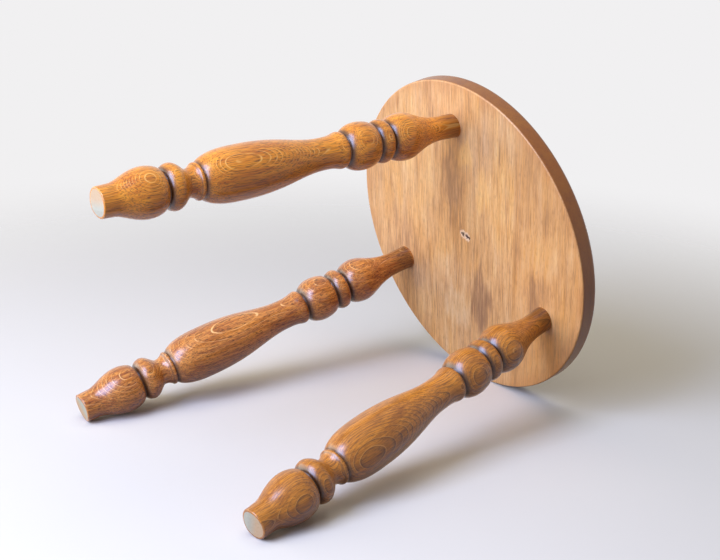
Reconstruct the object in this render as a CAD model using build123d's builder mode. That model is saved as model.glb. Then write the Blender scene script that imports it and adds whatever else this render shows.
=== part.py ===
from build123d import *
import os
from math import cos, radians, sin

# Three-legged turned stool.  Millimetres, +Z up, feet on z = 0.  The stool is laid
# out around the seat's own axis; at the end it is moved so that the origin lies in
# the middle of its footprint.  The grain of the seat boards runs along Y.

# --- Seat -------------------------------------------------------------------
seat_diameter = 300.0
seat_thickness = 17.0
top_edge_round = 4.5        # round-over of the sitting edge
under_edge_round = 1.4      # eased lower edge
board_joint_offset = 61.5   # glue joint, measured across the grain from the centre

# --- Turner's centre mark under the seat --------------------------------------
centre_hole_diameter = 2.6
centre_hole_mouth = 4.6     # diameter of the worn, funnel-shaped mouth
centre_hole_depth = 5.0
centre_hole_cone = 100      # included angle of the mouth, degrees

# --- How the legs stand -------------------------------------------------------
leg_circle_diameter = 218.0  # circle on which the legs enter the underside
splay = 8.0                  # lean of each leg away from the upright, degrees
lean_turn = -8.5             # the lean's direction, turned off the radius, degrees
front_leg_azimuth = -100.4
right_leg_azimuth = 20.9
left_leg_azimuth = 144.9

# --- Tenons and sockets -------------------------------------------------------
tenon_diameter = 22.0
socket_depth = 11.0         # along the leg, from the underside
tenon_chamfer = 1.0
glue_gap = 0.1              # all round the tenon

# --- Turned leg: lengths along it, from the seat to the foot --------------------
neck_length = 15.0          # seat to the slimmest of the neck
vase_rise = 42.7            # slimmest of the neck to the fullest of the vase
vase_fall = 16.7            # fullest of the vase to the first groove
bead_length = 14.4          # first groove to the second
ball_rise = 15.3            # second groove to the fullest of the ball
ball_fall = 16.1            # fullest of the ball to the third groove
collar_rise = 4.0           # third groove to the crest of the collar
collar_fall = 18.8          # crest of the collar to the waist
baluster_rise = 80.0        # waist to the fullest of the baluster
baluster_fall = 38.2        # fullest of the baluster to its lower edge
quirk_length = 1.8          # narrow groove between the baluster and the fillet
fillet_length = 1.8
cove_fall = 7.9             # fillet to the deepest of the cove
ring_rise = 14.1            # deepest of the cove to the crest of the ring
ring_fall = 8.2             # crest of the ring to the last groove
bulb_rise = 15.5            # last groove to the fullest of the bulb
bulb_fall = 30.5            # fullest of the bulb to the ankle
ankle_length = 11.0         # ankle to the end of the foot

# --- Turned leg: diameters, in the same order -----------------------------------
neck_diameter = 21.4
vase_diameter = 42.2
vase_shoulder_diameter = 33.9    # lips of the first groove
bead_diameter = 39.0
bead_shoulder_diameter = 35.2    # lips of the second groove
ball_diameter = 42.0
ball_shoulder_diameter = 31.8    # lips of the third groove
collar_diameter = 32.2
waist_diameter = 27.9
baluster_diameter = 46.6
baluster_edge_diameter = 33.4
quirk_diameter = 28.4            # at the bottom of the quirk
fillet_diameter = 31.4
cove_diameter = 24.0
ring_diameter = 39.8
ring_shoulder_diameter = 33.9    # lips of the last groove
bulb_diameter = 42.5
ankle_diameter = 26.8
foot_diameter = 26.2

# --- Turned leg: small details --------------------------------------------------
groove_width = 3.2
groove_depth = 2.6          # below the lips
foot_rim_chamfer = 0.6
foot_wear_width = 7.0       # level facet, measured in from the inner rim of the foot

# Where each curve of the turning changes its hollow for its swell, as a share
# of the curve's length and of its change in radius.
vase_turn = (0.55, 0.42)
collar_turn = (0.28, 0.52)
baluster_turn = (0.52, 0.665)
baluster_end_turn = (0.63, 0.25)
ring_turn = (0.42, 0.48)
bulb_turn = (0.56, 0.50)

# --- Worked out -----------------------------------------------------------------
leg_lengths = (
    neck_length, vase_rise, vase_fall, bead_length, ball_rise, ball_fall,
    collar_rise, collar_fall, baluster_rise, baluster_fall, quirk_length,
    fillet_length, cove_fall, ring_rise, ring_fall, bulb_rise, bulb_fall, ankle_length,
)
leg_length = sum(leg_lengths)
facet_reach = foot_diameter / 2 - foot_wear_width
underside = leg_length * cos(radians(splay)) + facet_reach * sin(radians(splay))
seat_radius = seat_diameter / 2
leg_circle_radius = leg_circle_diameter / 2


def leg_plane(azimuth):
    """Plane square to one leg where it meets the underside; its Z runs to the foot."""
    lean_azimuth = radians(azimuth + lean_turn)
    origin = Vector(
        leg_circle_radius * cos(radians(azimuth)),
        leg_circle_radius * sin(radians(azimuth)),
        underside,
    )
    to_foot = Vector(
        sin(radians(splay)) * cos(lean_azimuth),
        sin(radians(splay)) * sin(lean_azimuth),
        -cos(radians(splay)),
    )
    sideways = Vector(-sin(lean_azimuth), cos(lean_azimuth), 0)
    return Plane(origin=origin, x_dir=sideways, z_dir=to_foot)


def ogee(start, end, turn):
    """S-curve between two places that both run along the leg."""
    along, across = turn
    middle = (
        start[0] + across * (end[0] - start[0]),
        start[1] + along * (end[1] - start[1]),
    )
    return Spline(start, middle, end, tangents=((0, 1), (0, 1)))


def swell(crest, lip):
    """Arc that leaves a crest along the leg and ends at the lip of a groove."""
    return TangentArc(crest, lip, tangent=(0, 1 if lip[1] > crest[1] else -1))


def groove(shoulder_diameter, place):
    """V-groove cut by the corner of the tool; returns its two lips."""
    upper_lip = (shoulder_diameter / 2, place - groove_width / 2)
    lower_lip = (shoulder_diameter / 2, place + groove_width / 2)
    bottom = (shoulder_diameter / 2 - groove_depth, place)
    Line(upper_lip, bottom)
    Line(bottom, lower_lip)
    return upper_lip, lower_lip


def turned_leg(azimuth):
    """One leg with its tenon, turned from a single length of wood."""
    square_to_leg = leg_plane(azimuth)
    outline_plane = Plane(
        origin=square_to_leg.origin,
        x_dir=square_to_leg.x_dir,
        z_dir=square_to_leg.x_dir.cross(square_to_leg.z_dir),
    )
    # Outline points are (distance from the leg's axis, distance from the seat).
    place = 0.0
    seat_point = (tenon_diameter / 2, place)
    place += neck_length
    neck = (neck_diameter / 2, place)
    place += vase_rise
    vase = (vase_diameter / 2, place)
    place += vase_fall
    vase_groove = place
    bead = (bead_diameter / 2, vase_groove + bead_length / 2)
    place += bead_length
    bead_groove = place
    place += ball_rise
    ball = (ball_diameter / 2, place)
    place += ball_fall
    ball_groove = place
    place += collar_rise
    collar = (collar_diameter / 2, place)
    place += collar_fall
    waist = (waist_diameter / 2, place)
    place += baluster_rise
    baluster = (baluster_diameter / 2, place)
    place += baluster_fall
    baluster_edge = (baluster_edge_diameter / 2, place)
    quirk = (quirk_diameter / 2, place + quirk_length / 2)
    place += quirk_length
    fillet_start = (fillet_diameter / 2, place)
    place += fillet_length
    fillet_end = (fillet_diameter / 2, place)
    place += cove_fall
    cove = (cove_diameter / 2, place)
    place += ring_rise
    ring = (ring_diameter / 2, place)
    place += ring_fall
    ring_groove = place
    place += bulb_rise
    bulb = (bulb_diameter / 2, place)
    place += bulb_fall
    ankle = (ankle_diameter / 2, place)
    place += ankle_length
    foot = (foot_diameter / 2, place)

    with BuildPart() as leg:
        with BuildSketch(outline_plane):
            with BuildLine():
                # tenon
                tenon_rim = (tenon_diameter / 2, tenon_chamfer - socket_depth)
                tenon_end = (tenon_diameter / 2 - tenon_chamfer, -socket_depth)
                Polyline((0, -socket_depth), tenon_end, tenon_rim, seat_point)
                # neck and vase
                Spline(seat_point, neck, tangents=((0, 1), (0, 1)))
                ogee(neck, vase, vase_turn)
                vase_lip, bead_start = groove(vase_shoulder_diameter, vase_groove)
                swell(vase, vase_lip)
                # bead
                bead_lip, ball_start = groove(bead_shoulder_diameter, bead_groove)
                swell(bead, bead_start)
                swell(bead, bead_lip)
                # ball
                ball_lip, collar_start = groove(ball_shoulder_diameter, ball_groove)
                swell(ball, ball_start)
                swell(ball, ball_lip)
                # collar and long baluster
                swell(collar, collar_start)
                ogee(collar, waist, collar_turn)
                ogee(waist, baluster, baluster_turn)
                along, across = baluster_end_turn
                Spline(
                    baluster,
                    (
                        baluster[0] + across * (baluster_edge[0] - baluster[0]),
                        baluster[1] + along * baluster_fall,
                    ),
                    baluster_edge,
                    tangents=((0, 1), (-1, 2)),
                )
                Polyline(baluster_edge, quirk, fillet_start, fillet_end)
                # cove and ring
                swell(cove, fillet_end)
                ogee(cove, ring, ring_turn)
                ring_lip, bulb_start = groove(ring_shoulder_diameter, ring_groove)
                swell(ring, ring_lip)
                # bulb, ankle and foot
                swell(bulb, bulb_start)
                ogee(bulb, ankle, bulb_turn)
                foot_rim = (foot_diameter / 2, foot[1] - foot_rim_chamfer)
                foot_end = (foot_diameter / 2 - foot_rim_chamfer, foot[1])
                Line(ankle, foot_rim)
                Polyline(foot_rim, foot_end, (0, foot[1]), (0, -socket_depth))
            make_face()
        revolve(axis=Axis(square_to_leg.origin, square_to_leg.z_dir))
        # the inner part of the foot's end is worn level with the floor
        split(bisect_by=Plane.XY, keep=Keep.TOP)
    return leg


def seat_board(keep):
    """One board of the round seat, on one side of the glue joint."""
    joint = Plane(origin=(board_joint_offset, 0, 0), x_dir=(0, 1, 0), z_dir=(1, 0, 0))
    with BuildPart() as board:
        with BuildSketch(Plane.XY.offset(underside)):
            Circle(seat_radius)
        extrude(amount=seat_thickness)
        fillet(board.edges().group_by(Axis.Z)[-1], top_edge_round)
        fillet(board.edges().group_by(Axis.Z)[0], under_edge_round)
        # sockets, drilled square to each leg and flat at the bottom
        for azimuth in (front_leg_azimuth, right_leg_azimuth, left_leg_azimuth):
            with BuildSketch(leg_plane(azimuth).offset(-socket_depth)):
                Circle(tenon_diameter / 2 + glue_gap)
            extrude(amount=socket_depth + tenon_diameter, mode=Mode.SUBTRACT)
        # the turner's centre mark
        with Locations(Plane(origin=(0, 0, underside), z_dir=(0, 0, -1))):
            CounterSinkHole(
                radius=centre_hole_diameter / 2,
                counter_sink_radius=centre_hole_mouth / 2,
                depth=centre_hole_depth,
                counter_sink_angle=centre_hole_cone,
            )
        split(bisect_by=joint, keep=keep)
    return board


# --- The pieces ---------------------------------------------------------------------
seat_board_wide = seat_board(Keep.BOTTOM)
seat_board_wide.part.label = "seat_board_wide"

seat_board_narrow = seat_board(Keep.TOP)
seat_board_narrow.part.label = "seat_board_narrow"

leg_front = turned_leg(front_leg_azimuth)
leg_front.part.label = "leg_front"

leg_right = turned_leg(right_leg_azimuth)
leg_right.part.label = "leg_right"

leg_left = turned_leg(left_leg_azimuth)
leg_left.part.label = "leg_left"

# --- The origin goes to the middle of the footprint, on the floor ---------------------
stool = (seat_board_wide, seat_board_narrow, leg_front, leg_right, leg_left)
boxes = [piece.part.bounding_box() for piece in stool]
middle_x = (min(box.min.X for box in boxes) + max(box.max.X for box in boxes)) / 2
middle_y = (min(box.min.Y for box in boxes) + max(box.max.Y for box in boxes)) / 2
print(f"the seat's centre is at ({-middle_x:.3f}, {-middle_y:.3f}, {underside:.3f})")

for piece in stool:
    name = piece.part.label
    piece.part.move(Location((-middle_x, -middle_y, 0)))
    export_step(piece.part, f"parts/{name}.step")
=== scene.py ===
# %% [markdown]
# # A three-legged turned stool
#
# A round seat of two glued oak boards stands on three turned oak legs. The CAD model
# gives the frame: every piece below is made in metres, in place, in that same frame.
# The floor is z = 0 and the seat is on top, although the stool is shown tipped over.
# The camera and the floor are turned instead of the stool, so that the model keeps
# the upright frame that whoever reuses it expects.

# %% Load the frame
import bpy
import numpy as np
from math import cos, pi, radians, sin, tan
from mathutils import Matrix, Quaternion, Vector


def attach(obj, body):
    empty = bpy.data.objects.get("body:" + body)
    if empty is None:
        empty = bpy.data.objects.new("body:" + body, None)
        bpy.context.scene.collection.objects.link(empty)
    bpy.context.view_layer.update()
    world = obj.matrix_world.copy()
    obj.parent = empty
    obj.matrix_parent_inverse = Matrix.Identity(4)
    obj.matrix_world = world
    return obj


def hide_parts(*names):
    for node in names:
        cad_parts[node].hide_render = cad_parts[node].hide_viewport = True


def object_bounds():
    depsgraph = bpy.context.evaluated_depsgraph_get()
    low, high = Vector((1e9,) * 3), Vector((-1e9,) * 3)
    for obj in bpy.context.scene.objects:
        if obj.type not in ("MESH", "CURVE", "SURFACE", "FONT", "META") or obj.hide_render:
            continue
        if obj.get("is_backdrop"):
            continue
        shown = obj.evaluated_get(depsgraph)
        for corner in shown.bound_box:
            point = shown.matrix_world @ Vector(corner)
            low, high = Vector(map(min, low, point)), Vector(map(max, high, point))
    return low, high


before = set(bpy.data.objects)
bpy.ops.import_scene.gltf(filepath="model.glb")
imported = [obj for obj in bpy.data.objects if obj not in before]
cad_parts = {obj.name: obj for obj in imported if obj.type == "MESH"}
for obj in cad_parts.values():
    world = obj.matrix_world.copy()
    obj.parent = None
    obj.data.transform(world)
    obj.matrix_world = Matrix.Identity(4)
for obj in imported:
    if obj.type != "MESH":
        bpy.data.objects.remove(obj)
cad_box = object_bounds()
mm = 0.001
print("CAD box, mm:", [[round(v / mm, 1) for v in corner] for corner in cad_box])

# %% [markdown]
# ## The camera
#
# Blender's camera could be aimed with a Track To constraint, but a stool that lies on
# its side also needs a roll about the line of sight, and a quaternion takes both. The
# lens is a short telephoto on a 36 mm sensor, so the legs taper only a little.

# %% Camera
camera_place = Vector((0.92953361, -0.74245309, -0.47612066))
camera_aim = Vector((0.00467064, -0.00588195, 0.21508879))
camera_roll = radians(65.648)

line_of_sight = (camera_aim - camera_place).normalized()
camera = bpy.data.objects.new("camera", bpy.data.cameras.new("camera"))
camera.data.lens = 78.99
camera.data.sensor_width = 36.0
camera.data.clip_start = 0.01
camera.location = camera_place
camera.rotation_mode = "QUATERNION"
camera.rotation_quaternion = line_of_sight.to_track_quat("-Z", "Y") @ Quaternion((0, 0, 1), camera_roll)
bpy.context.scene.collection.objects.link(camera)
bpy.context.scene.camera = camera
camera_right = camera.rotation_quaternion @ Vector((1, 0, 0))
camera_up = camera.rotation_quaternion @ Vector((0, 1, 0))
print("camera up:", [round(v, 4) for v in camera_up])

# %% [markdown]
# ## Placing a grid of points
#
# Every piece here is a surface: rows of points, computed as whole numpy arrays, that
# Blender joins with four-sided faces. A turned piece closes round its axis, and its
# two ends run together in one point each, so the skin has no hole.

# %% A skin from a grid
def closed_skin(name, grid, first_pole, last_pole):
    """Mesh of a tube of points grid[row, column] whose columns close round, and whose
    first and last rows are capped by a fan of triangles to a pole each."""
    rows, columns = grid.shape[:2]
    points = np.concatenate([grid.reshape(-1, 3), [first_pole], [last_pole]])
    here = np.arange(rows * columns).reshape(rows, columns)
    beside = np.roll(here, -1, axis=1)
    quads = np.stack([here[:-1], beside[:-1], beside[1:], here[1:]], axis=-1).reshape(-1, 4)
    first_fan = np.stack([beside[0], here[0], np.full(columns, rows * columns)], axis=-1)
    last_fan = np.stack([here[-1], beside[-1], np.full(columns, rows * columns + 1)], axis=-1)
    mesh = bpy.data.meshes.new(name)
    mesh.from_pydata(points.tolist(), [], quads.tolist() + first_fan.tolist() + last_fan.tolist())
    mesh.shade_smooth()
    made = bpy.data.objects.new(name, mesh)
    bpy.context.scene.collection.objects.link(made)
    print(f"{name}: {len(points)} points, {len(mesh.polygons)} faces")
    return made


def keep_on_points(made, name, values):
    """Stores one number or one vector per point as an attribute that materials read."""
    kind, field = ("FLOAT", "value") if values.ndim == 1 else ("FLOAT_VECTOR", "vector")
    attribute = made.data.attributes.new(name, kind, "POINT")
    attribute.data.foreach_set(field, values.ravel().astype(np.float32))


print("shapes are described in millimetres and stored in metres: times", mm)

# %% [markdown]
# ## The turning
#
# From the seat down, each leg has a neck, a vase, a bead, a ball, a collar, a long
# baluster, a fillet and cove, a ring, a bulb, and an ankle and foot. A turner marks
# the lengths along the stick and sizes the diameters with callipers, so the outline
# is described in the same way: places along the leg, and diameters at them. Those
# are the CAD legs' own. The grooves are cut deeper here than in the CAD legs, and
# they flare out, and the lower edge of the baluster is rounder.

# %% Places and diameters along a leg
along = {}
place = 0.0
for name, length in (
    ("neck", 15.0), ("vase", 42.7), ("vase_groove", 16.7), ("bead_groove", 14.4), ("ball", 15.3),
    ("ball_groove", 16.1), ("collar", 4.0), ("waist", 18.8), ("baluster", 80.0), ("baluster_edge", 38.2),
    ("fillet_start", 1.8), ("fillet", 1.8), ("cove", 7.9), ("ring", 14.1), ("ring_groove", 8.2),
    ("bulb", 15.5), ("ankle", 30.5), ("foot", 11.0),
):
    place += length
    along[name] = place
along["bead"] = (along["vase_groove"] + along["bead_groove"]) / 2
along["quirk"] = (along["baluster_edge"] + along["fillet_start"]) / 2

radius = {name: diameter / 2 for name, diameter in (
    ("tenon", 22.0), ("neck", 21.4), ("vase", 42.2), ("vase_groove", 33.9), ("bead", 39.0),
    ("bead_groove", 35.2), ("ball", 42.0), ("ball_groove", 31.8), ("collar", 32.2), ("waist", 27.9),
    ("baluster", 46.6), ("baluster_edge", 33.4), ("quirk", 28.4), ("fillet", 31.4), ("cove", 24.0),
    ("ring", 39.8), ("ring_groove", 33.9), ("bulb", 42.5), ("ankle", 26.8), ("foot", 26.2),
)}
tenon_length = 11.0
tenon_chamfer = 1.0
groove_depth = 3.2
groove_flare = (3.2, 1.2)
edge_drop = 1.8
edge_flare = (2.6, 0.35)
foot_rim_chamfer = 0.6
foot_wear_width = 7.0
print(f"leg length below the seat: {along['foot']:.1f} mm")

# %% [markdown]
# ## Curves of the outline
#
# The turned curves are of two kinds. An ogee is a hollow that runs into a swell, and
# it leaves both ends parallel to the leg. A swell is part of a circle, from the crest
# of a bead or ball down to a groove. The grooves are cut in afterwards, and each is a
# cusp: deepest at its station, and flaring out on both sides. It flares further on
# the side of the seat, as a pointed tool leaves it when it is rolled over that way.

# %% Ogee, swell and cusp
def ogee(start, end, turn, end_slope=0.0, count=80):
    """Outline (place, radius) of two cubic pieces that meet at the turn, where slope and
    bend agree: each piece is a Hermite blend of its end radii and end slopes."""
    middle = (start[0] + turn[0] * (end[0] - start[0]), start[1] + turn[1] * (end[1] - start[1]))
    first, second = middle[0] - start[0], end[0] - middle[0]
    rise = 3 * ((middle[1] - start[1]) / first**2 + (end[1] - middle[1]) / second**2)
    slope = (rise - end_slope / second) / (2 / first + 2 / second)
    places = np.linspace(start[0], end[0], count)

    def blend(low, high, low_slope, high_slope):
        span = high[0] - low[0]
        t = (places - low[0]) / span
        return (low[1] * (1 + 2 * t) * (1 - t)**2 + high[1] * t**2 * (3 - 2 * t)
                + span * (low_slope * t * (1 - t)**2 - high_slope * t**2 * (1 - t)))

    return np.stack([places, np.where(
        places < middle[0], blend(start, middle, 0.0, slope), blend(middle, end, slope, end_slope))], axis=1)


def swell(crest, lip, count=40):
    """Outline of a circle's arc that leaves the crest along the leg and ends at the lip."""
    drop = crest[1] - lip[1]
    bend = ((lip[0] - crest[0])**2 + drop**2) / (2 * abs(drop))
    places = np.linspace(crest[0], lip[0], count)
    fallen = bend - np.sqrt(bend**2 - (places - crest[0])**2)
    return np.stack([places, crest[1] - np.sign(drop) * fallen], axis=1)


def crest(name):
    """Place and radius of one station of the turning."""
    return along[name], radius[name]


def cusp(places, name, depth, flare):
    """Depth cut away by a pointed tool: deepest at the station, and fading out along the
    leg as exp(-distance / flare), with one flare towards the seat and one to the foot."""
    distance = places - along[name]
    return depth * np.exp(-np.abs(distance) / np.where(distance < 0, *flare))


print("grooves:", groove_depth, "mm deep, flaring over", groove_flare, "mm")

# %% [markdown]
# ## The whole outline
#
# The pieces are strung together from the end of the tenon to the middle of the foot.
# A real turning has no knife edges: sanding and years of handling round them by a few
# tenths of a millimetre. So the outline is spaced out evenly, the grooves are cut into
# it, and it is smoothed with a narrow bell curve, which rounds the edges and leaves
# the rest alone.

# %% Outline of a leg
outline = np.concatenate([
    [(-tenon_length, radius["tenon"] - tenon_chamfer), (tenon_chamfer - tenon_length, radius["tenon"])],
    ogee((0.0, radius["tenon"]), crest("neck"), (0.5, 0.5)),
    ogee(crest("neck"), crest("vase"), (0.55, 0.42)),
    swell(crest("vase"), crest("vase_groove")),
    swell(crest("bead"), crest("vase_groove"))[::-1],
    swell(crest("bead"), crest("bead_groove")),
    swell(crest("ball"), crest("bead_groove"))[::-1],
    swell(crest("ball"), crest("ball_groove")),
    swell(crest("collar"), crest("ball_groove"))[::-1],
    ogee(crest("collar"), crest("waist"), (0.28, 0.52)),
    ogee(crest("waist"), crest("baluster"), (0.52, 0.665)),
    ogee(crest("baluster"), crest("baluster_edge"), (0.63, 0.25), end_slope=-0.5),
    [crest("quirk"), (along["fillet_start"], radius["fillet"]), crest("fillet")],
    swell(crest("cove"), crest("fillet"))[::-1],
    ogee(crest("cove"), crest("ring"), (0.42, 0.48)),
    swell(crest("ring"), crest("ring_groove")),
    swell(crest("bulb"), crest("ring_groove"))[::-1],
    ogee(crest("bulb"), crest("ankle"), (0.56, 0.50)),
    [(along["foot"] - foot_rim_chamfer, radius["foot"]), (along["foot"], radius["foot"] - foot_rim_chamfer)],
])
outline = outline[np.r_[True, np.hypot(*np.diff(outline, axis=0).T) > 1e-6]]

fine_step = 0.1
bell_reach = 12
kept_step = 5
walked = np.r_[0, np.cumsum(np.hypot(*np.diff(outline, axis=0).T))]
even = np.arange(0, walked[-1], fine_step)
outline = np.stack([np.interp(even, walked, outline[:, 0]), np.interp(even, walked, outline[:, 1])], axis=1)
grooves = ("vase_groove", "bead_groove", "ball_groove", "ring_groove")
for name in grooves:
    outline[:, 1] -= cusp(outline[:, 0], name, groove_depth, groove_flare)
outline[:, 1] -= cusp(outline[:, 0], "baluster_edge", edge_drop, edge_flare)

edge_softness = 0.3
reach = np.arange(-bell_reach, bell_reach + 1) * fine_step
bell = np.exp(-(reach / edge_softness)**2 / 2)
bell /= bell.sum()
padded = np.pad(outline, ((bell_reach, bell_reach), (0, 0)), mode="edge")
outline = np.stack([np.convolve(padded[:, k], bell, mode="valid") for k in (0, 1)], axis=1)[::kept_step]
print(f"outline: {len(outline)} points, fullest radius {outline[:, 1].max():.2f} mm")

# %% [markdown]
# ## Where stain gathers, and painted shade
#
# Stain gathers in the grooves, the quirk and down the neck beside the seat, where no
# cloth reaches, and the material darkens there. That darkening is partly stain and
# partly painted shade of the hollows and of the corner under the seat. The dark line
# under the fillet is painted shade alone. Each such place gives a band with a flat top,
# which reaches further to one side than to the other: up the seat's side of a groove,
# and down the neck. Where bands overlap, the darkest counts. Broad curves such as the
# cove are rubbed clean, so they are not in the list.

# %% Stain and painted shade along the outline
# each: place, reach towards the seat, reach towards the foot, and how dark
# grooves: partly stain, partly painted shade in the hollow
stain_and_shade_places = [(along[name], 3.1, 0.9, 1.0) for name in grooves]
stain_and_shade_places += [
    # quirk and neck beside the seat: partly stain, partly painted shade; under the fillet: painted shade
    (along["quirk"], 2.4, 0.4, 0.85),
    (along["fillet"] + 1.0, 0.4, 0.7, 0.55),
    (2.0, 2.0, 16.0, 0.62),
]
stain_and_shade = np.max([
    much / (1 + ((outline[:, 0] - place) / np.where(outline[:, 0] < place, above, below))**4)
    for place, above, below, much in stain_and_shade_places], axis=0)
print(f"dirt on {np.mean(stain_and_shade > 0.3):.0%} of the outline")

# %% [markdown]
# ## The legs
#
# A leg is its outline carried round the leg's axis: a function of the place along the
# leg and the angle round it. The axis leans out from the seat by 8 degrees, and not
# quite along the radius. The foot is sawn square to the leg, and its inner edge has
# worn level with the floor, so points that would lie under the floor are drawn back.
#
# The wood's own grain travels with each leg as two attributes. One is the place in
# the stick of wood, in millimetres from its pith, the heart of the tree. The other
# counts the growth rings outwards from the pith. On the side of a swelling that
# faces away from the pith the rings close into ovals, the turner's bull's-eyes. A
# small slope between the grain and the leg's axis shifts the ovals along the leg, and
# a slow twist of the grain, as many trees have, shifts them round it.

# %% Frame of a leg
seat_centre = np.array([-0.007728, 0.009752, 0.349423])
leg_circle_radius = 0.109
splay = radians(8.0)
lean_turn = -8.5


def leg_axes(azimuth):
    """Where a leg's axis meets the underside, and its sideways, outward and footward directions."""
    lean = radians(azimuth + lean_turn)
    start = seat_centre + leg_circle_radius * np.array([cos(radians(azimuth)), sin(radians(azimuth)), 0])
    sideways = np.array([-sin(lean), cos(lean), 0])
    footward = np.array([sin(splay) * cos(lean), sin(splay) * sin(lean), -cos(splay)])
    return start, sideways, np.cross(footward, sideways), footward


print("a leg at azimuth 0 runs towards", leg_axes(0.0)[3].round(3).tolist())

# %% One leg
around = 104
foot_rows = 26
facet_reach = radius["foot"] - foot_wear_width


def turned_leg(name, azimuth, bull_eye, twist, pith_distance, ring_width, first_ring, grain_slope):
    """Surface p(s, a) = start + s footward + r(s) (cos a sideways + sin a outward), with the
    foot's end closed by shrinking rings. Under the floor, s is held back to the level z = 0."""
    start, sideways, outward, footward = leg_axes(azimuth)
    angle = np.arange(around) * 2 * pi / around
    shrink = np.linspace(1, 0, foot_rows + 1)[1:-1]
    s = np.repeat(np.r_[outline[:, 0], np.full(len(shrink), along["foot"])][:, None], around, axis=1)
    r = np.r_[outline[:, 1], outline[-1, 1] * shrink][:, None]
    held_back = np.minimum(0, (facet_reach + r * np.sin(angle)) * tan(splay))
    s = s + held_back * np.clip((s - along["ankle"]) / (along["foot"] - along["ankle"]), 0, 1)
    x, y = r * np.cos(angle), r * np.sin(angle)
    grid = start + mm * (s[..., None] * footward + x[..., None] * sideways + y[..., None] * outward)
    made = closed_skin(
        name, grid, start - mm * tenon_length * footward, start + mm * along["foot"] * footward)

    # the stick's own coordinates: across and along the growth rings, and along the leg
    local = np.stack([x, y, s], axis=-1).reshape(-1, 3)
    local = np.concatenate([local, [[0, 0, -tenon_length], [0, 0, along["foot"]]]])
    from_crown = local[:, 2] - along["baluster"]
    turned = np.radians(bull_eye + twist * from_crown / 100)
    across = local[:, 0] * np.cos(turned) + local[:, 1] * np.sin(turned)
    away = across + pith_distance + grain_slope * from_crown
    beside_pith = local[:, 1] * np.cos(turned) - local[:, 0] * np.sin(turned)
    keep_on_points(made, "stick", np.stack([away, beside_pith, local[:, 2]], axis=1))
    crown = pith_distance + radius["baluster"]
    keep_on_points(made, "rings", (np.hypot(away, beside_pith) - crown) / ring_width + first_ring)
    facing = across / np.maximum(np.hypot(local[:, 0], local[:, 1]), 1e-6)
    keep_on_points(made, "graze", np.abs(facing))
    # stain and painted shade along the leg, none on the foot's end
    keep_on_points(made, "stain_and_shade", np.r_[np.repeat(np.r_[stain_and_shade, np.zeros(len(shrink))], around), 0, 0])

    # bare wood on the end of the foot: the last rows of faces, and the fan that closes them
    on_end = np.repeat(np.arange(len(r) - 1) >= len(outline) + 2, around)
    on_end = np.r_[on_end, np.zeros(around, bool), np.ones(around, bool)]
    made.data.polygons.foreach_set("material_index", on_end.astype(np.int32))
    made.data.update()
    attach(made, "root")
    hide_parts(name)
    return made


print(f"each leg: {len(outline) + foot_rows - 1} rows of {around} points")

# %% The three legs
front_leg = turned_leg(
    "leg_front", azimuth=-100.4, bull_eye=30.0, twist=10.0,
    pith_distance=70.0, ring_width=0.80, first_ring=0.47, grain_slope=0.03)
left_leg = turned_leg(
    "leg_left", azimuth=144.9, bull_eye=-58.0, twist=-5.0,
    pith_distance=95.0, ring_width=2.30, first_ring=0.58, grain_slope=-0.124)
right_leg = turned_leg(
    "leg_right", azimuth=20.9, bull_eye=122.0, twist=-2.0,
    pith_distance=80.0, ring_width=1.60, first_ring=0.38, grain_slope=0.13)

# %% [markdown]
# ## The seat boards
#
# The seat is a disc glued up from two boards, 17 mm thick, with a generous round-over
# on the sitting edge and only a touch on the lower edge. A turner's centre mark is
# left in the middle of the underside. Each board is a surface of a station, running
# from its middle below, over the rim, to its middle above, and an angle about a point
# inside the board. A ray at that angle ends at the circle or at the glue joint. The
# CAD boards have a blind socket for each tenon. These have none: each tenon runs
# into the closed board, where it doesn't show while the stool is whole.

# %% Section of the rim
seat_radius = 150.0
seat_thickness = 17.0
top_edge_round = 4.5
under_edge_round = 1.4
joint_offset = 61.5

quarter = np.linspace(0, pi / 2, 13)
lower_round = np.stack([
    under_edge_round * (1 - np.sin(quarter)), under_edge_round * (1 - np.cos(quarter))], axis=1)
upper_round = np.stack([
    top_edge_round * (1 - np.cos(quarter)), seat_thickness - top_edge_round * (1 - np.sin(quarter))], axis=1)
band_heights = np.linspace(under_edge_round, seat_thickness - top_edge_round, 8)[1:-1]
band = np.stack([np.zeros(len(band_heights)), band_heights], axis=1)
rim_section = np.concatenate([lower_round, band, upper_round])
print(f"rim section: {len(rim_section)} points, (inset, height) in mm")

# %% One board
flat_rows = 24


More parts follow.
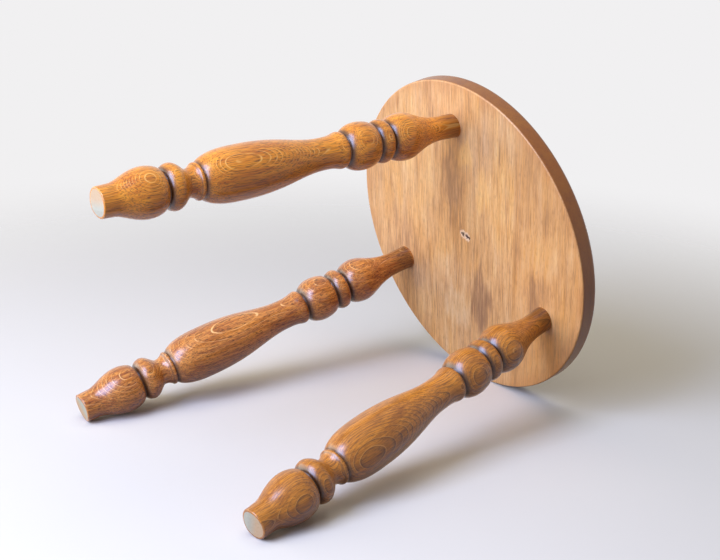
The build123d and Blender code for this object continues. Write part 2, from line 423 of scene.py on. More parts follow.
def seat_board(name, side, middle, mark):
    """Surface p(t, a) = middle + share(t) reach(t, a) (cos a, sin a), at height(t). The reach is
    the distance from the middle to the circle less the section's inset, or to the glue joint.
    The rays of each row are spread anew, so that one of them always runs to the corner."""
    share = np.linspace(0, 1, flat_rows + 2)[1:-1]
    inset = np.r_[
        np.full(flat_rows, under_edge_round), rim_section[:, 0], np.full(flat_rows, top_edge_round)][:, None]
    height = np.r_[np.zeros(flat_rows), rim_section[:, 1], np.full(flat_rows, seat_thickness)]
    share = np.r_[share, np.ones(len(rim_section)), share[::-1]][:, None]
    ring = seat_radius - inset
    corner = np.arctan2(np.sqrt(ring**2 - joint_offset**2), joint_offset - middle)
    rim_rays = [np.linspace(-corner, corner, 160, endpoint=False, axis=1),
                np.linspace(corner, 2 * pi - corner, 260, endpoint=False, axis=1)][side < 0]
    joint_rays = [np.linspace(corner, 2 * pi - corner, 60, endpoint=False, axis=1),
                  np.linspace(-corner, corner, 60, endpoint=False, axis=1)][side < 0]
    angle = np.concatenate([rim_rays, joint_rays], axis=1)[:, :, 0]
    to_circle = -middle * np.cos(angle) + np.sqrt(ring**2 - (middle * np.sin(angle))**2)
    facing = np.cos(angle) * (-side)
    to_joint = np.where(facing > 1e-6, abs(joint_offset - middle) / np.maximum(facing, 1e-6), np.inf)
    distance = share * np.minimum(to_circle, to_joint)
    lower_pole = 0.0
    if mark:
        turn = angle[:1]
        ragged = 1 + 0.20 * np.sin(2 * turn + 0.7) + 0.12 * np.sin(5 * turn + 2.1) + 0.06 * np.sin(11 * turn)
        mark_section = np.array([
            (0.5, 4.9), (1.1, 4.6), (1.4, 3.2), (1.6, 1.5),
            (1.9, 0.75), (2.3, 0.28), (2.8, 0.06), (3.4, 0.0)])
        distance = np.concatenate([mark_section[:, :1] * ragged, distance])
        angle = np.concatenate([np.repeat(turn, len(mark_section), axis=0), angle])
        height = np.r_[mark_section[:, 1], height]
        lower_pole = 5.0
    height = np.repeat(height[:, None], angle.shape[1], axis=1)
    points = np.stack([middle + distance * np.cos(angle), distance * np.sin(angle), height], axis=-1)
    poles = np.array([[middle, 0, lower_pole], [middle, 0, seat_thickness]])
    made = closed_skin(name, (seat_centre + mm * points)[:, ::-1], *(seat_centre + mm * poles))
    made.data.set_sharp_from_angle(angle=radians(40))
    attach(made, "root")
    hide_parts(name)
    return made


print(f"each board: {len(rim_section) + 2 * flat_rows} rows from its middle below to its middle above")
wide_board = seat_board("seat_board_wide", -1, 0.0, True)
narrow_board = seat_board("seat_board_narrow", +1, 105.0, False)

# %% [markdown]
# ## Colours and nodes
#
# Colours are written as sRGB hex values, as a colour picker gives them, and turned to
# the linear values that shaders mix. One small function adds a node, sets it and
# links it, so that a material reads from top to bottom like a recipe.

# %% Helpers for materials
def colour(hex_value):
    """Linear colour of an sRGB hex value such as '#a76427'."""
    parts = np.array([int(hex_value[k:k + 2], 16) for k in (1, 3, 5)]) / 255
    linear = np.where(parts <= 0.04045, parts / 12.92, ((parts + 0.055) / 1.055)**2.4)
    return (*linear.tolist(), 1.0)


def add(tree, kind, inputs=None, stops=None, **settings):
    """Adds one node. Inputs are values or the sockets that feed them; stops fill a colour ramp."""
    made = tree.nodes.new(kind)
    for name, value in settings.items():
        setattr(made, name, value)
    for name, value in (inputs or {}).items():
        if isinstance(value, bpy.types.NodeSocket):
            tree.links.new(value, made.inputs[name])
        else:
            made.inputs[name].default_value = value
    for k, (position, shade) in enumerate(stops or ()):
        elements = made.color_ramp.elements
        element = elements[k] if k < 2 else elements.new(position)
        element.position = position
        element.color = shade
    return made


def new_material(name):
    """An empty material, and its tree of nodes."""
    made = bpy.data.materials.new(name)
    made.use_nodes = True
    made.node_tree.nodes.clear()
    return made, made.node_tree


white, black = (1, 1, 1, 1), (0, 0, 0, 1)
print("linear value of a mid brown:", [round(v, 3) for v in colour("#a76427")])

# %% [markdown]
# ## Oak, turned, stained and varnished
#
# Oak is ring-porous: each year starts with a row of large pores and ends in dense,
# smooth wood. Cut along the grain, the pores show as short dark dashes that take the
# stain, and the dense wood as a thin golden line. The pores are 0.2 to 0.3 mm wide
# and a few millimetres long. They are drawn 0.65 mm wide, because finer ones would be
# lost at this viewing distance. The golden lines are a small share of each year, so
# they show where the surface grazes a ring, and vanish where it cuts across. They
# also come and go along the leg. Over the stain lies a thin varnish, IOR 1.5, rubbed
# to a soft gloss.
#
# The three legs were turned from three sticks, one slow grown, one fast grown and
# one between, so one function makes a material for each.

# %% Growth lines of the legs
def lumps(tree, place, size, detail, roughness=0.5):
    """Cloudy values about 0.5, whose lumps have the given size along the axes of place, in its
    units. Fac is one such value, and Color holds it and two more."""
    scaled = add(tree, "ShaderNodeMapping", {"Vector": place, "Scale": tuple(1 / v for v in size)})
    return add(tree, "ShaderNodeTexNoise", {
        "Vector": scaled.outputs[0], "Scale": 1.0, "Detail": detail, "Roughness": roughness}).outputs


def growth_lines(tree, stick, gold_from, gold_share, graze_power, dark_share, wandering):
    """How far through its year's growth the wood is, from 0 to 1, how golden and how dark. The
    golden line fills each year from gold_from to its end, and fades with graze to the power of
    graze_power; the dark line is deepest at the year's start. The rings stray by the share of a
    year called wandering."""
    rings = add(tree, "ShaderNodeAttribute", attribute_name="rings").outputs["Fac"]
    wander = add(tree, "ShaderNodeMath", {
        0: lumps(tree, stick, (14, 14, 30), 1.0)["Fac"], 1: wandering, 2: rings}, operation="MULTIPLY_ADD")
    count = add(tree, "ShaderNodeMath", {
        0: lumps(tree, stick, (5, 5, 12), 2.0)["Fac"], 1: 0.08, 2: wander.outputs[0]},
        operation="MULTIPLY_ADD")
    year = add(tree, "ShaderNodeMath", {0: count.outputs[0]}, operation="FRACT").outputs[0]

    # both lines come and go along the leg
    middle = (1 + gold_from) / 2
    gold_line = add(tree, "ShaderNodeValToRGB", {"Fac": year}, stops=[
        (gold_from, black), (1.0, black), (middle - 0.01, white), (middle + 0.01, white)])
    come_and_go = add(tree, "ShaderNodeMapRange", {
        "Value": lumps(tree, stick, (9, 9, 16), 2.0)["Fac"], "From Min": 0.42, "From Max": 0.56,
        "To Min": 0.12 * gold_share, "To Max": gold_share})
    graze = add(tree, "ShaderNodeAttribute", attribute_name="graze").outputs["Fac"]
    grazing = add(tree, "ShaderNodeMath", {0: graze, 1: graze_power}, operation="POWER")
    golden = add(tree, "ShaderNodeMath", {
        0: gold_line.outputs["Color"], 1: come_and_go.outputs[0]}, operation="MULTIPLY")
    golden = add(tree, "ShaderNodeMath", {0: golden.outputs[0], 1: grazing.outputs[0]}, operation="MULTIPLY")
    dark_line = add(tree, "ShaderNodeValToRGB", {"Fac": year}, stops=[
        (0.0, black), (1.0, black), (0.06, white), (0.18, (0.4, 0.4, 0.4, 1)), (0.42, black)])
    faint = add(tree, "ShaderNodeMapRange", {
        "Value": lumps(tree, stick, (7, 7, 20), 2.0)["Fac"], "From Min": 0.38, "From Max": 0.55,
        "To Min": 0.35 * dark_share, "To Max": dark_share})
    darkened = add(tree, "ShaderNodeMath", {
        0: dark_line.outputs["Color"], 1: faint.outputs[0]}, operation="MULTIPLY")
    return year, golden.outputs[0], darkened.outputs[0]


front_rings = np.empty(len(front_leg.data.vertices), np.float32)
front_leg.data.attributes["rings"].data.foreach_get("value", front_rings)
print(f"growth rings that the front leg cuts through: {np.ptp(front_rings):.0f}")

# %% Stained oak for the legs
pore_width = 0.65


def turned_oak(name, deep, light, gold, gold_from, gold_share, graze_power, dark_share,
               wandering, pore_length, pore_share):
    """Material of one leg: its growth lines, pores, streaks and clouds, and the stain and
    painted shade over them.
    The length of a pore is in millimetres."""
    made, tree = new_material(name)
    stick = add(tree, "ShaderNodeAttribute", attribute_name="stick").outputs["Vector"]
    stain_and_shade_here = add(tree, "ShaderNodeAttribute", attribute_name="stain_and_shade").outputs["Fac"]
    year, golden, darkened = growth_lines(
        tree, stick, gold_from, gold_share, graze_power, dark_share, wandering)

    # pores: dashes along the stick, crowded at the start of each year
    crowd = add(tree, "ShaderNodeMapRange", {
        "Value": year, "From Min": 0.2, "From Max": 0.8, "To Min": 1.0, "To Max": 0.55})
    dashes = add(tree, "ShaderNodeMapRange", {
        "Value": lumps(tree, stick, (pore_width, pore_width, pore_length), 1.5, 0.6)["Fac"],
        "From Min": 0.51, "From Max": 0.61, "To Max": pore_share})
    pores = add(tree, "ShaderNodeMath", {
        0: dashes.outputs[0], 1: crowd.outputs[0]}, operation="MULTIPLY").outputs[0]

    # long soft streaks and broad clouds of tone
    streaks = lumps(tree, stick, (2.4, 2.4, 60), 2.0, 0.6)["Fac"]
    clouds = lumps(tree, stick, (22, 22, 50), 2.0)["Fac"]
    tone = add(tree, "ShaderNodeMath", {0: streaks, 1: 2.0, 2: -1.1}, operation="MULTIPLY_ADD")
    tone = add(tree, "ShaderNodeMath", {0: clouds, 1: 1.2, 2: tone.outputs[0]}, operation="MULTIPLY_ADD")
    ground = add(tree, "ShaderNodeMix", {"Factor": tone.outputs[0], 6: deep, 7: light}, data_type="RGBA")
    lined = add(tree, "ShaderNodeMix", {
        "Factor": darkened, 6: ground.outputs[2], 7: colour("#361a08")}, data_type="RGBA")
    porous = add(tree, "ShaderNodeMix", {
        "Factor": pores, 6: lined.outputs[2], 7: colour("#40200b")}, data_type="RGBA")
    gilded = add(tree, "ShaderNodeMix", {
        "Factor": golden, 6: porous.outputs[2], 7: gold}, data_type="RGBA")
    # darker with stain in the hollows, and with painted shade there and beside the seat
    stained_and_shaded = add(tree, "ShaderNodeMath", {0: stain_and_shade_here, 1: 0.88}, operation="MULTIPLY")
    finished = add(tree, "ShaderNodeMix", {
        "Factor": stained_and_shaded.outputs[0], 6: gilded.outputs[2], 7: colour("#22110a")}, data_type="RGBA")

    # the pores dent the varnish, and hands have polished it unevenly
    dents = add(tree, "ShaderNodeBump", {"Height": pores, "Strength": 0.30, "Distance": 0.00015}, invert=True)
    polish = add(tree, "ShaderNodeMapRange", {
        "Value": clouds, "From Min": 0.3, "From Max": 0.7, "To Min": 0.30, "To Max": 0.42})
    varnished = add(tree, "ShaderNodeBsdfPrincipled", {
        "Base Color": finished.outputs[2], "Roughness": polish.outputs[0],
        "IOR": 1.5, "Specular IOR Level": 0.15,
        "Normal": dents.outputs[0], "Coat Weight": 1.0, "Coat Roughness": 0.25, "Coat IOR": 1.5})
    add(tree, "ShaderNodeOutputMaterial", {"Surface": varnished.outputs[0]})
    print("leg material:", name, len(tree.nodes), "nodes")
    return made


print("pores of the legs are drawn", pore_width, "mm wide")

# %% The three legs' wood
leg_finish = {
    front_leg: turned_oak(
        "oak, slow grown, turned, stained and varnished",
        deep=colour("#c0640e"), light=colour("#fba32c"), gold=colour("#fcc56a"),
        gold_from=0.76, gold_share=0.85, graze_power=12.0, dark_share=0.15,
        wandering=0.15, pore_length=14.0, pore_share=0.75),
    left_leg: turned_oak(
        "oak, fast grown, turned, stained and varnished",
        deep=colour("#9c4e16"), light=colour("#ea9a44"), gold=colour("#ffca84"),
        gold_from=0.89, gold_share=0.95, graze_power=2.0, dark_share=0.20,
        wandering=0.15, pore_length=4.5, pore_share=0.82),
    right_leg: turned_oak(
        "oak, plain sawn, turned, stained and varnished",
        deep=colour("#98540e"), light=colour("#dc8c2a"), gold=colour("#f2b968"),
        gold_from=0.92, gold_share=0.60, graze_power=2.0, dark_share=0.75,
        wandering=0.45, pore_length=7.0, pore_share=0.55),
}

# %% [markdown]
# ## Oak end grain, bare
#
# The ends of the feet were never stained, or have lost their finish to the floor.
# They are a warm cream. The level facet that stands on the floor is grey-white, and
# the grey fades out towards the middle. A thin brown line of stain is left round the
# rim. Bare end grain is dry and dull, roughness 0.8.

# %% Bare end grain for the feet
end_grain, tree = new_material("oak end grain, bare and worn")
stick = add(tree, "ShaderNodeAttribute", attribute_name="stick").outputs["Vector"]
rings = add(tree, "ShaderNodeAttribute", attribute_name="rings").outputs["Fac"]
year = add(tree, "ShaderNodeMath", {0: rings}, operation="FRACT")
belt = add(tree, "ShaderNodeMapRange", {
    "Value": year.outputs[0], "From Min": 0.0, "From Max": 0.5, "To Min": 0.45, "To Max": 0.0})
grime = add(tree, "ShaderNodeTexNoise", {"Vector": stick, "Scale": 0.5, "Detail": 4.0, "Roughness": 0.65})
height = add(tree, "ShaderNodeSeparateXYZ", {0: add(tree, "ShaderNodeTexCoord").outputs["Object"]})
stands = add(tree, "ShaderNodeMapRange", {
    "Value": height.outputs["Z"], "From Min": 0.2 * mm, "From Max": 1.3 * mm, "To Min": 1.0, "To Max": 0.0})
cream = add(tree, "ShaderNodeMix", {
    "Factor": grime.outputs["Fac"], 6: colour("#d6bd9e"), 7: colour("#b8986e")}, data_type="RGBA")
grey_white = add(tree, "ShaderNodeMix", {
    "Factor": grime.outputs["Fac"], 6: colour("#c8cab8"), 7: colour("#9c9f90")}, data_type="RGBA")
worn = add(tree, "ShaderNodeMix", {
    "Factor": stands.outputs[0], 6: cream.outputs[2], 7: grey_white.outputs[2]}, data_type="RGBA")
ringed = add(tree, "ShaderNodeMix", {
    "Factor": belt.outputs[0], 6: worn.outputs[2], 7: colour("#c9a27c")}, data_type="RGBA")
pitted = add(tree, "ShaderNodeBump", {"Height": grime.outputs["Fac"], "Strength": 0.4, "Distance": 0.0002})
dry = add(tree, "ShaderNodeBsdfPrincipled", {
    "Base Color": ringed.outputs[2], "Roughness": 0.8, "IOR": 1.5, "Normal": pitted.outputs[0]})
add(tree, "ShaderNodeOutputMaterial", {"Surface": dry.outputs[0]})

for leg, finish in leg_finish.items():
    leg.data.materials.append(finish)
    leg.data.materials.append(end_grain)
print("foot material:", end_grain.name)

# %% [markdown]
# ## Oak boards, sanded and waxed
#
# The underside of the seat is paler than the legs: it was sanded and waxed. The stain
# and a thin varnish were wiped over the rim and the top. The underside grows darker and
# redder in a ragged band towards the rim. Below the stain the lower arris is left pale,
# which is the stain's edge and also a painted highlight line along that edge. The boards
# were cut along the grain, so the pores and rings show as dense, fine, straight streaks,
# dark and light, golden and grey. They are 0.2 to 0.5 mm wide, and drawn 0.65 mm wide
# to show at this distance. Broad pale and dark patches lie over them, where the saw ran
# through a bend in the grain, and in one place the rings close into a long dark tongue.
# Waxed wood is satin: roughness about 0.5, IOR 1.5.

# %% Figure of a board
streak_width = 0.65


def board_figure(tree, board, shifted, streak_share, cloud_share, patches):
    """How light the wood is and how golden, both about 0.5, and its fine streaks. A patch is its
    middle (across, along), its half width and half length in millimetres, how much it lightens
    or darkens, and how much it gilds or greys."""
    # two values travel together as x and y: how light the wood is, and how golden
    fine = lumps(tree, shifted, (streak_width, 30, streak_width), 3.0, 0.6)
    broad = lumps(tree, shifted, (4.5, 90, 4.5), 2.0)
    clouds = lumps(tree, shifted, (26, 48, 26), 3.0)
    layers = ((fine, streak_share, 1.3), (broad, 0.80, 1.0), (clouds, cloud_share, 0.8))
    # the lumps lie about 0.5, so half of each share comes off, and the middle stays at 0.5
    figure = (*(0.5 - sum(layer[k] for layer in layers) / 2 for k in (1, 2)), 0)
    for cloudy, lighter, warmer in layers:
        figure = add(tree, "ShaderNodeVectorMath", {
            0: cloudy["Color"], 1: (lighter, warmer, 0), 2: figure}, operation="MULTIPLY_ADD").outputs[0]

    # patches with ragged edges
    ragged = add(tree, "ShaderNodeVectorMath", {
        0: lumps(tree, shifted, (7, 40, 7), 2.0)["Color"], 1: (18, 50, 0), 2: board},
        operation="MULTIPLY_ADD").outputs[0]
    for across, along_grain, half_width, half_length, lighter, warmer in patches:
        centred = add(tree, "ShaderNodeMapping", {
            "Vector": ragged, "Scale": (1 / half_width, 1 / half_length, 0),
            "Location": (-(across + 9) / half_width, -(along_grain + 25) / half_length, 0)})
        far = add(tree, "ShaderNodeVectorMath", {0: centred.outputs[0]}, operation="LENGTH")
        patch = add(tree, "ShaderNodeMapRange", {
            "Value": far.outputs["Value"], "From Min": 0.55, "From Max": 1.25, "To Min": 1.0, "To Max": 0.0},
            interpolation_type="SMOOTHSTEP")
        figure = add(tree, "ShaderNodeVectorMath", {
            0: patch.outputs[0], 1: (lighter, warmer, 0), 2: figure}, operation="MULTIPLY_ADD").outputs[0]
    parts = add(tree, "ShaderNodeSeparateXYZ", {0: figure}).outputs
    return parts["X"], parts["Y"], fine["Fac"]


print("streaks of the boards are drawn", streak_width, "mm wide")

# %% [markdown]
# ## The turner's centre mark
#
# The point of a lathe's centre leaves a pit in the middle of the underside, and here a
# smaller dent lies beside it. The torn fibres round both are paler than the waxed wood.
# The pit is in the mesh, and the dent in the tone alone. The dark in the middle of both
# is painted shade of the hollows. Both tones are worked out from the distance to the
# nearer of the two, and lumps make their edges uneven.

# %% Tone of the centre mark
dent_offset = np.array([-5.4, -0.7, 0])
dent_middle = seat_centre + mm * dent_offset


def centre_mark(tree, where, from_middle, shifted, wood):
    """The wood's colour with the marks over it: dark to about 2 mm from the middle of each,
    which is painted shade of the hollows, and pale to about 4 mm."""
    beside = add(tree, "ShaderNodeVectorMath", {
        0: where, 1: tuple(dent_middle)}, operation="DISTANCE").outputs["Value"]
    nearest = add(tree, "ShaderNodeMath", {0: from_middle, 1: beside}, operation="MINIMUM").outputs[0]
    uneven = add(tree, "ShaderNodeMath", {
        0: lumps(tree, shifted, (1.5, 3, 1.5), 2.0)["Fac"], 1: 7.0 * mm, 2: nearest},
        operation="MULTIPLY_ADD").outputs[0]
    torn = add(tree, "ShaderNodeMapRange", {
        "Value": uneven, "From Min": 7.0 * mm, "From Max": 8.4 * mm, "To Min": 0.85, "To Max": 0.0})
    # painted shade inside the pit and the dent
    pit = add(tree, "ShaderNodeMapRange", {
        "Value": uneven, "From Min": 5.3 * mm, "From Max": 6.0 * mm, "To Min": 0.9, "To Max": 0.0})
    frayed = add(tree, "ShaderNodeMix", {
        "Factor": torn.outputs[0], 6: wood, 7: colour("#fcdcba")}, data_type="RGBA")
    marked = add(tree, "ShaderNodeMix", {
        "Factor": pit.outputs[0], 6: frayed.outputs[2], 7: colour("#4a2c1c")}, data_type="RGBA")
    return marked.outputs[2]


print("dent beside the centre mark, mm from the middle:", dent_offset.tolist())

# %% Waxed oak for the boards
# below stain_from the lower arris is left pale: the stain's edge, and a painted highlight line too
stain_from = 0.3 * mm
stain_full = 1.4 * mm


def board_oak(name, dark, even, light, streak_share, cloud_share, patches, salt):
    """Material of one seat board: its figure, the stain at its edge, its pores, the stain over
    the rim and top, and the centre mark. The salt is how far the lumps are shifted, in
    millimetres, so that no two boards match."""
    made, tree = new_material(name)
    where = add(tree, "ShaderNodeTexCoord").outputs["Object"]
    # millimetres from the middle of the underside: x across, y along the grain, z up
    board = add(tree, "ShaderNodeMapping", {
        "Vector": where, "Location": tuple(-seat_centre / mm), "Scale": (1 / mm, 1 / mm, 1 / mm)}).outputs[0]
    shifted = add(tree, "ShaderNodeVectorMath", {0: board, 1: (salt, salt, salt)}, operation="ADD").outputs[0]
    lightness, warmth, streaks = board_figure(tree, board, shifted, streak_share, cloud_share, patches)
    ground = add(tree, "ShaderNodeValToRGB", {
        "Fac": lightness}, stops=[(0.0, dark), (1.0, light), (0.5, even)])
    hue = add(tree, "ShaderNodeValToRGB", {"Fac": warmth}, stops=[
        (0.0, (0.90, 0.93, 1.10, 1)), (1.0, (1.05, 0.98, 0.74, 1)), (0.5, white)])
    hued = add(tree, "ShaderNodeMix", {
        "Factor": 1.0, 6: ground.outputs["Color"], 7: hue.outputs["Color"]},
        data_type="RGBA", blend_type="MULTIPLY")

    # darker and redder towards the rim, in a ragged band
    from_middle = add(tree, "ShaderNodeVectorMath", {
        0: where, 1: tuple(seat_centre)}, operation="DISTANCE").outputs["Value"]
    ragged_distance = add(tree, "ShaderNodeMath", {
        0: lumps(tree, shifted, (20, 30, 20), 2.0)["Fac"], 1: 30 * mm, 2: from_middle},
        operation="MULTIPLY_ADD")
    edge = add(tree, "ShaderNodeMapRange", {
        "Value": ragged_distance.outputs[0], "From Min": 150 * mm, "From Max": 168 * mm, "To Max": 0.35},
        interpolation_type="SMOOTHSTEP")
    edged = add(tree, "ShaderNodeMix", {
        "Factor": edge.outputs[0], 6: hued.outputs[2], 7: colour("#c07a40")}, data_type="RGBA")

    # pores, drawn 0.9 mm wide so that they show
    dashes = add(tree, "ShaderNodeMapRange", {
        "Value": lumps(tree, shifted, (0.9, 7, 0.9), 1.5)["Fac"],
        "From Min": 0.54, "From Max": 0.70, "To Max": 0.35})
    porous = add(tree, "ShaderNodeMix", {
        "Factor": dashes.outputs[0], 6: edged.outputs[2], 7: colour("#a06a3e")}, data_type="RGBA")

    # stain over the rim and the top, fading in round the lower edge
    # the pale lower arris below the stain is also a painted highlight line along that edge
    height = add(tree, "ShaderNodeSeparateXYZ", {0: where})
    stain_above_arris_highlight = add(tree, "ShaderNodeMapRange", {
        "Value": height.outputs["Z"],
        "From Min": seat_centre[2] + stain_from, "From Max": seat_centre[2] + stain_full})
    stain = add(tree, "ShaderNodeMix", {
        "Factor": 1.0, 6: porous.outputs[2], 7: colour("#a88428")}, data_type="RGBA", blend_type="MULTIPLY")
    finished = add(tree, "ShaderNodeMix", {
        "Factor": stain_above_arris_highlight.outputs[0], 6: porous.outputs[2], 7: stain.outputs[2]}, data_type="RGBA")
    marked = centre_mark(tree, where, from_middle, shifted, finished.outputs[2])

    dents = add(tree, "ShaderNodeBump", {
        "Height": dashes.outputs[0], "Strength": 0.3, "Distance": 0.00012}, invert=True)
    gloss = add(tree, "ShaderNodeMapRange", {
        "Value": streaks, "From Min": 0.3, "From Max": 0.7, "To Min": 0.42, "To Max": 0.58})
    coat = add(tree, "ShaderNodeMapRange", {"Value": stain_above_arris_highlight.outputs[0], "To Min": 0.25, "To Max": 0.6})
    waxed = add(tree, "ShaderNodeBsdfPrincipled", {
        "Base Color": marked, "Roughness": gloss.outputs[0], "IOR": 1.5, "Specular IOR Level": 0.4,
        "Normal": dents.outputs[0], "Coat Weight": coat.outputs[0], "Coat Roughness": 0.25})
    add(tree, "ShaderNodeOutputMaterial", {"Surface": waxed.outputs[0]})
    print("board material:", name, len(tree.nodes), "nodes")
    return made


print("the rim's stain fades in between", stain_from / mm, "and", stain_full / mm, "mm up")

# %% The two boards' wood
wide_board.data.materials.append(board_oak(
    "oak board, straight grained, sanded and waxed",
    dark=colour("#a07248"), even=colour("#e0a86c"), light=colour("#f5cd94"),
    streak_share=2.10, cloud_share=0.60, salt=0.0, patches=[
        (-3, -84, 11, 16, 0.22, 0.45), (21, -52, 9, 20, 0.20, 0.45), (-75, -40, 40, 60, 0.10, 0.10),
        (-20, 52, 26, 22, 0.12, -0.20), (-22, -50, 14, 30, -0.24, -0.30), (-14, 10, 10, 60, -0.20, 0.0),
        (18, 62, 16, 34, -0.40, -0.50), (-88, 60, 34, 40, -0.14, -0.20), (-16, 86, 20, 24, 0.30, -0.30),
        (46, -60, 20, 60, 0.05, 0.35),
    ]))
narrow_board.data.materials.append(board_oak(
    "oak board, mild figured, sanded and waxed",
    dark=colour("#a07044"), even=colour("#dda262"), light=colour("#ecbe86"),
    streak_share=1.40, cloud_share=0.95, salt=700.0, patches=[
        (98, -30, 24, 30, 0.16, 0.10), (88, 20, 16, 22, -0.18, -0.10), (110, 40, 30, 50, -0.10, 0.10),
    ]))

# %% [markdown]
# ## The floor
#
# The stool lies on two feet and the rim of its seat, so the floor is the plane that
# touches those three. It is found from the CAD pieces: the lowest point of each along
# a guessed normal gives three points, these give a better normal, and a few rounds
# settle it. The disc shows its face on the stool's side alone, so that it never hides
# the stool, and it fades into the pale background at its edge. It is pale to the
# camera, in the varnish that mirrors it and through glass. The matt light that it
# sends back to the stool is that of a darker, warm table top, so that the undersides
# of the legs stay deep, as they do on such a table.

# %% Plane under the tipped stool
def node_points(name):
    """Points of one CAD node."""
    points = np.empty(len(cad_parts[name].data.vertices) * 3)
    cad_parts[name].data.vertices.foreach_get("co", points)
    return points.reshape(-1, 3)


touching = [node_points("leg_left"), node_points("leg_right"),
            np.concatenate([node_points("seat_board_wide"), node_points("seat_board_narrow")])]
floor_up = np.array(camera_up) - 0.3 * np.array(line_of_sight)
for _ in range(40):
    contacts = [points[np.argmin(points @ floor_up)] for points in touching]
    normal = np.cross(contacts[1] - contacts[0], contacts[2] - contacts[0])
    normal *= np.sign(normal @ (seat_centre - contacts[0])) / np.linalg.norm(normal)
    floor_up = floor_up / np.linalg.norm(floor_up) + normal
floor_up = normal
print("floor normal:", floor_up.round(3), "touching at", [c.round(3).tolist() for c in contacts])

# %% Floor disc
floor_across = np.cross(np.array([0.0, 0.0, 1.0]), floor_up)
floor_across /= np.linalg.norm(floor_across)
floor_along = np.cross(floor_up, floor_across)
floor_middle = sum(contacts) / 3 - 0.0002 * floor_up
floor_radius = 1.6
spoke_count = 96
ring_count = 32
turn_angle = np.arange(spoke_count) * 2 * pi / spoke_count
ring_share = np.linspace(0, 1, ring_count + 1)[1:, None, None]
spokes = np.cos(turn_angle)[:, None] * floor_across + np.sin(turn_angle)[:, None] * floor_along
disc = (floor_middle + floor_radius * ring_share * spokes).reshape(-1, 3)
number = np.arange(ring_count * spoke_count).reshape(ring_count, spoke_count)
beside = np.roll(number, -1, axis=1)
faces = np.stack([number[:-1], number[1:], beside[1:], beside[:-1]], axis=-1).reshape(-1, 4).tolist()
faces += np.stack([number[0], beside[0], np.full(spoke_count, ring_count * spoke_count)], axis=-1).tolist()
floor_mesh = bpy.data.meshes.new("floor")
floor_mesh.from_pydata(disc.tolist() + [floor_middle.tolist()], [], faces)
floor = bpy.data.objects.new("floor", floor_mesh)
bpy.context.scene.collection.objects.link(floor)
floor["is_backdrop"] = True
print("floor disc radius:", floor_radius, "m")

# %% Floor paint
def seen_directly(tree):
    """1 for a ray from the camera, off a mirroring surface or through a clear one, and 0 for the
    rays that light matt surfaces."""
    ray = add(tree, "ShaderNodeLightPath").outputs
    either = add(tree, "ShaderNodeMath", {
        0: ray["Is Camera Ray"], 1: ray["Is Glossy Ray"]}, operation="MAXIMUM")
    return add(tree, "ShaderNodeMath", {
        0: either.outputs[0], 1: ray["Is Transmission Ray"]}, operation="MAXIMUM").outputs[0]


background = colour("#f1f0f1")
floor_paint, tree = new_material("floor, matt, pale")
where = add(tree, "ShaderNodeTexCoord").outputs["Object"]
from_middle = add(tree, "ShaderNodeVectorMath", {0: where, 1: tuple(floor_middle)}, operation="DISTANCE")
fade = add(tree, "ShaderNodeMapRange", {
    "Value": from_middle.outputs["Value"], "From Min": 0.25 * floor_radius, "From Max": 0.60 * floor_radius},
    interpolation_type="SMOOTHSTEP")
behind = add(tree, "ShaderNodeNewGeometry").outputs["Backfacing"]
gone = add(tree, "ShaderNodeMath", {0: fade.outputs[0], 1: behind}, operation="MAXIMUM")
floor_colour = add(tree, "ShaderNodeMix", {
    "Factor": seen_directly(tree), 6: colour("#6a5238"), 7: colour("#dedad3")}, data_type="RGBA")
matt = add(tree, "ShaderNodeBsdfDiffuse", {"Color": floor_colour.outputs[2]})
clear = add(tree, "ShaderNodeBsdfTransparent")
shown = add(tree, "ShaderNodeMixShader", {0: gone.outputs[0], 1: matt.outputs[0], 2: clear.outputs[0]})
add(tree, "ShaderNodeOutputMaterial", {"Surface": shown.outputs[0]})
floor_mesh.materials.append(floor_paint)
print("floor material:", floor_paint.name)

# %% [markdown]
# ## Light
#
# A tall, bluish soft lamp stands for a window, to the left of the camera and above. A
# real window is small and bright, and varnish mirrors it as a strong glint, so a
# second lamp in the same place is seen by the shine alone and lights nothing. A broad
# warm lamp fills from the left, where the feet point, as a pale wall would. The
# ceiling and a weak fill from the front light the wood but are not mirrored, because
# they would lay a haze over the varnish. The world fills in a little from all round.
# Together they light the wood at about the level at which a colour looks as it is
# written. A lamp's strength is worked out from the share of that level it has to
# give: radiance = pi * share / solid angle.

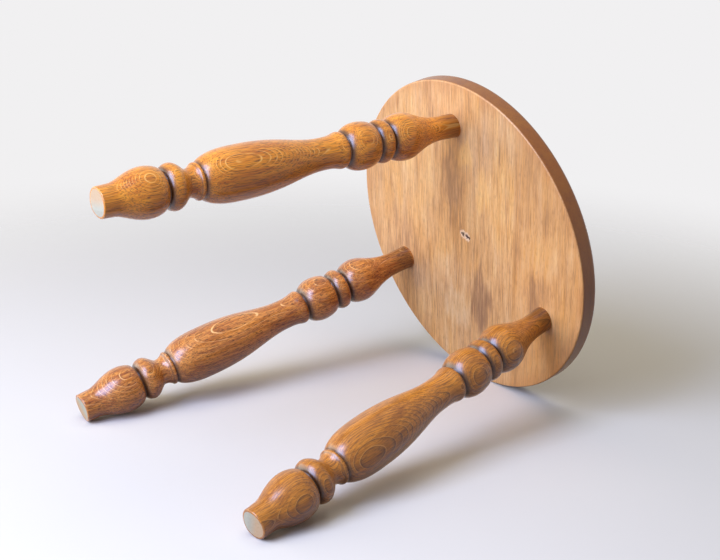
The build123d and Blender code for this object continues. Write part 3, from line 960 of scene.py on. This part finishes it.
# %% Lamps and world
def soft_lamp(name, direction, distance, width, length, share, shade, lights=True, mirrored=True):
    """Oblong area lamp aimed at the stool's middle, its length in the upright plane that holds
    its aim; direction is (right, up, back) of the camera. It can be kept from lighting matt
    surfaces, and from being mirrored."""
    middle = Vector((cad_box[0] + cad_box[1]) / 2)
    right, up, back = direction
    axis = (right * camera_right + up * camera_up - back * line_of_sight).normalized()
    across_axis = camera_up.cross(axis).normalized()
    lamp = bpy.data.lights.new(name, "AREA")
    lamp.shape = "RECTANGLE"
    lamp.size = width
    lamp.size_y = length
    radiance = pi * share / (width * length / distance**2)
    lamp.energy = 4 * radiance * width * length
    lamp.color = shade
    made = bpy.data.objects.new(name, lamp)
    made.location = middle + distance * axis
    made.visible_diffuse = lights
    made.visible_glossy = mirrored
    made.rotation_mode = "QUATERNION"
    turned = Matrix((across_axis, axis.cross(across_axis), axis)).transposed()
    made.rotation_quaternion = turned.to_quaternion()
    bpy.context.scene.collection.objects.link(made)
    print(f"{name}: {lamp.energy:.1f} W at {[round(v, 2) for v in made.location]}")


soft_lamp("window", (-0.60, 0.38, 0.70), 1.5, 0.75, 1.40, 1.15, (0.50, 0.62, 1.0))
soft_lamp("window's glare", (-0.60, 0.33, 0.70), 1.5, 0.90, 1.60, 0.70, (0.28, 0.50, 1.0), lights=False)
soft_lamp("left wall", (-0.95, 0.22, 0.12), 1.6, 2.4, 1.1, 0.80, (1.0, 0.95, 0.84))
soft_lamp("ceiling", (0.0, 0.95, 0.30), 1.6, 1.5, 1.5, 0.50, (1.0, 0.95, 0.84), mirrored=False)
soft_lamp("front fill", (0.15, 0.20, 0.97), 1.8, 1.5, 1.5, 0.08, (1.0, 0.90, 0.82), mirrored=False)

# %% World and view
world = bpy.data.worlds.new("world")
bpy.context.scene.world = world
world.use_nodes = True
tree = world.node_tree
tree.nodes.clear()
fill = add(tree, "ShaderNodeBackground", {"Color": (1.0, 0.96, 0.91, 1), "Strength": 0.06})
pale = add(tree, "ShaderNodeBackground", {"Color": background, "Strength": 1.0})
sky = add(tree, "ShaderNodeMixShader", {0: seen_directly(tree), 1: fill.outputs[0], 2: pale.outputs[0]})
add(tree, "ShaderNodeOutputWorld", {"Surface": sky.outputs[0]})

view = bpy.context.scene.view_settings
view.view_transform = "Standard"
print("view transform:", view.view_transform)

# %% [markdown]
# ## Size, and the end
#
# The dressed stool must be as large as the measured one. Both boxes are worked out,
# and their difference is printed in millimetres.

# %% Sizes and finish
seen_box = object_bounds()
boxes = {"cad": [list(corner) for corner in cad_box], "visual": [list(corner) for corner in seen_box]}
difference = (np.array(boxes["visual"]) - np.array(boxes["cad"])) / mm
print("difference of the boxes, mm:", difference.round(2).tolist())
